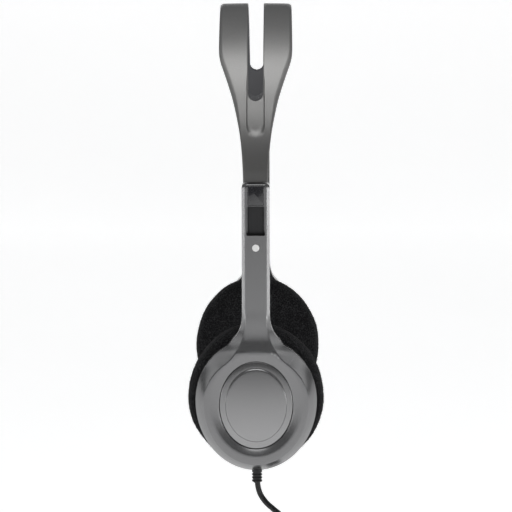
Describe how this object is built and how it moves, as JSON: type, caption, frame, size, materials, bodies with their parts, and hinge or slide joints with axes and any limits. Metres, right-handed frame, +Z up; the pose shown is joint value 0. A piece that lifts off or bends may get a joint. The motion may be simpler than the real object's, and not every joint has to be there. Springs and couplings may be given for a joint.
{
  "type": "office headset",
  "caption": "Two-ear corded headset with a slotted metallic band, sliding arms, oval ear shells, foam cushions and a stowed microphone boom.",
  "frame": {"origin": "midway between the two ear cushions, on the ear axis", "axes": "+X wearer's front, +Y wearer's left, +Z up along the arms"},
  "size_m": [0.064, 0.1485, 0.287],
  "materials": {
    "band_silver": "satin silver paint",
    "liner_dark": "matte",
    "cord_jacket": "satin",
    "shell_plastic": "satin grey metallic paint",
    "cap_plastic": "satin grey metallic paint",
    "dark_plastic": "fine matte",
    "gloss_black": "gloss",
    "white_plastic": "matte",
    "spring_steel": "bright",
    "screw_steel": "satin",
    "foam": "open-cell foam",
    "film": "thin film",
    "copper_wire": "enamelled",
    "magnet_plating": "plated",
    "yoke_steel": "zinc plated",
    "tongue_steel": "satin",
    "relief_rubber": "matte",
    "tie_strap": "woven",
    "contact_gold": "plated",
    "capsule_metal": "satin"
  },
  "bodies": {
    "headband": {"headband": "band_silver", "headband_liner": "liner_dark", "crossover_lead": "cord_jacket", "right_slide_tongue": "tongue_steel", "left_slide_tongue": "tongue_steel"},
    "right_arm": {"right_arm_shell": "shell_plastic", "right_cap": "cap_plastic", "right_arm_cover": "dark_plastic", "right_arm_insert": "gloss_black", "right_side_marker": "white_plastic", "right_detent_spring": "spring_steel", "right_baffle": "dark_plastic", "right_shell_screws": "screw_steel", "right_ear_cushion": "foam", "right_diaphragm": "film", "right_voice_coil": "copper_wire", "right_driver_magnet": "magnet_plating", "right_driver_yoke": "yoke_steel", "right_driver_basket": "dark_plastic", "strain_relief": "relief_rubber", "cord_clamp": "dark_plastic", "cord_lead": "cord_jacket", "cord_coil": "cord_jacket", "cord_tie": "tie_strap", "plug_grip": "relief_rubber", "plug_contacts": "contact_gold", "plug_insulators": "gloss_black"},
    "left_arm": {"left_arm_shell": "shell_plastic", "left_cap": "cap_plastic", "left_arm_cover": "dark_plastic", "left_arm_insert": "gloss_black", "left_side_marker": "white_plastic", "left_detent_spring": "spring_steel", "left_baffle": "dark_plastic", "left_shell_screws": "screw_steel", "left_ear_cushion": "foam", "left_diaphragm": "film", "left_voice_coil": "copper_wire", "left_driver_magnet": "magnet_plating", "left_driver_yoke": "yoke_steel", "left_driver_basket": "dark_plastic"},
    "boom": {"boom_hub": "dark_plastic", "boom_clip": "spring_steel", "boom_arm": "dark_plastic", "mic_housing": "dark_plastic", "mic_capsule": "capsule_metal"}
  },
  "joints": [
    {"name": "right_arm_slide", "type": "slide", "parent": "headband", "child": "right_arm", "axis": [0, 0, -1], "range_m": [0, 0.025]},
    {"name": "left_arm_slide", "type": "slide", "parent": "headband", "child": "left_arm", "axis": [0, 0, -1], "range_m": [0, 0.025]},
    {"name": "boom_hinge", "type": "hinge", "parent": "left_arm", "child": "boom", "pos_m": [0, 0.0742, 0.0007], "axis": [0, 1, 0], "range_deg": [0, 135]}
  ]
}
